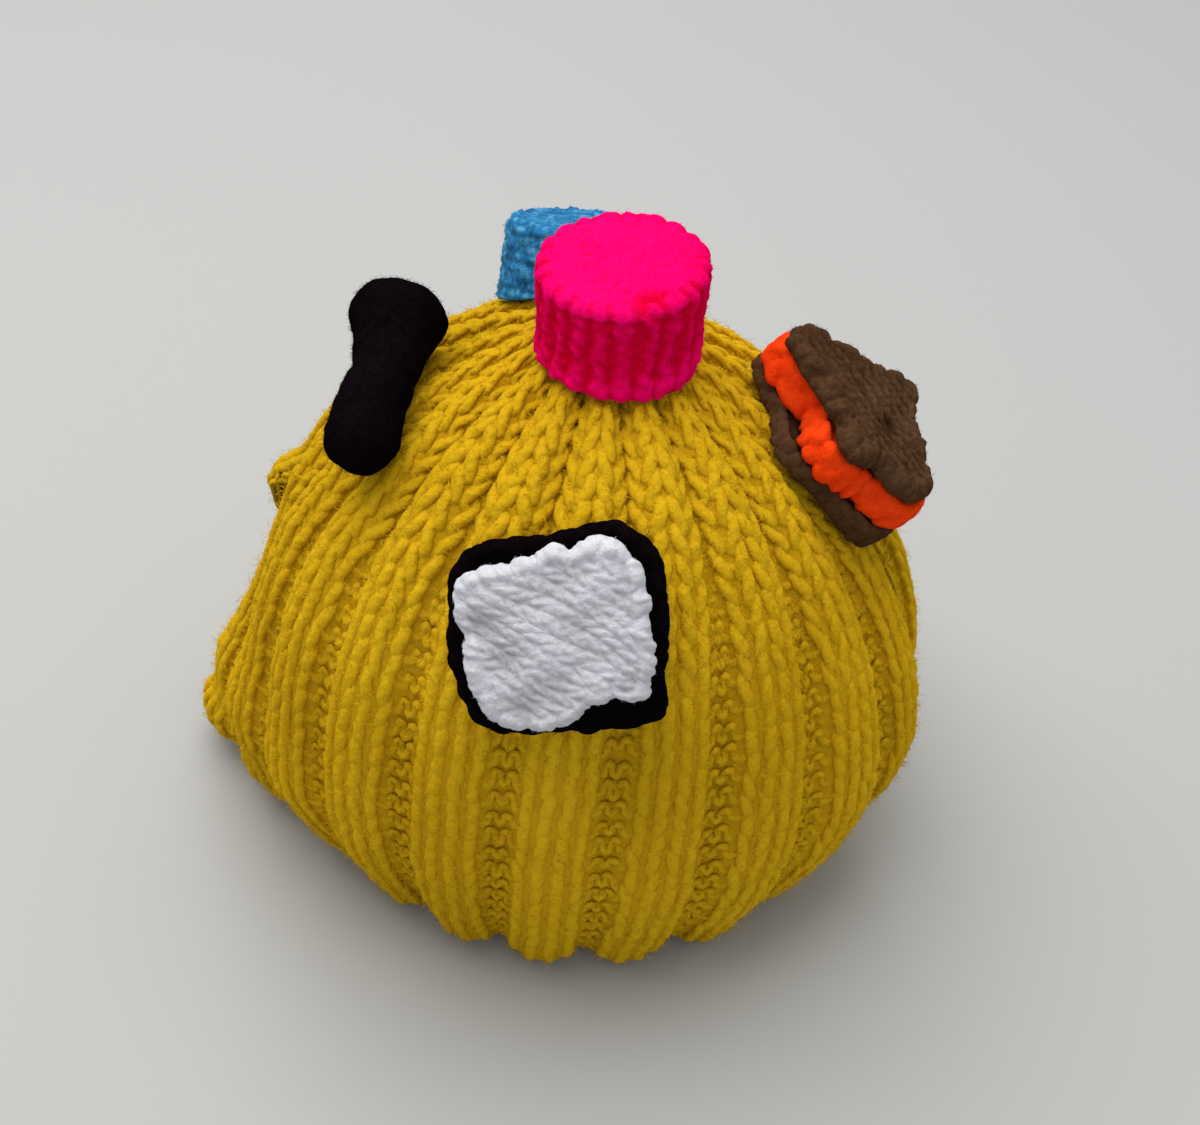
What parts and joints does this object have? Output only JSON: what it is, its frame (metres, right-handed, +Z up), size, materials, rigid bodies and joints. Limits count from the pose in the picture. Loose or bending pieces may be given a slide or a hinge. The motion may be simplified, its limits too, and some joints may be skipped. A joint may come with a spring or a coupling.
{
  "type": "tea cosy",
  "caption": "Ribbed knitted tea cosy, open below and slit at both sides for a spout and a handle, with knitted sweets sewn on round its crown.",
  "frame": {"origin": "middle of the part's box, on the surface that the hem stands on", "axes": "+Z up; -Y the front, with the white and black square; -X the spout side, +X the handle side"},
  "size_m": [0.1666, 0.1554, 0.1568],
  "materials": {
    "yellow_wool": "chunky ribbed knit, slightly fuzzy",
    "pink_wool": "felted knit",
    "blue_wool": "speckled knit with a glitter thread",
    "black_wool": "close knit, fuzzy",
    "white_wool": "stocking stitch",
    "brown_wool": "stocking stitch",
    "orange_wool": "garter stitch"
  },
  "bodies": {
    "root": {"cosy_front": "yellow_wool", "cosy_back": "yellow_wool", "sweet_drum_pink": "pink_wool", "sweet_drum_blue": "blue_wool", "sweet_roll_black": "black_wool", "sweet_square_white_back": "white_wool", "sweet_square_black": "black_wool", "sweet_square_white_front": "white_wool", "sweet_square_brown_back": "brown_wool", "sweet_square_orange": "orange_wool", "sweet_square_brown_front": "brown_wool"}
  },
  "joints": []
}
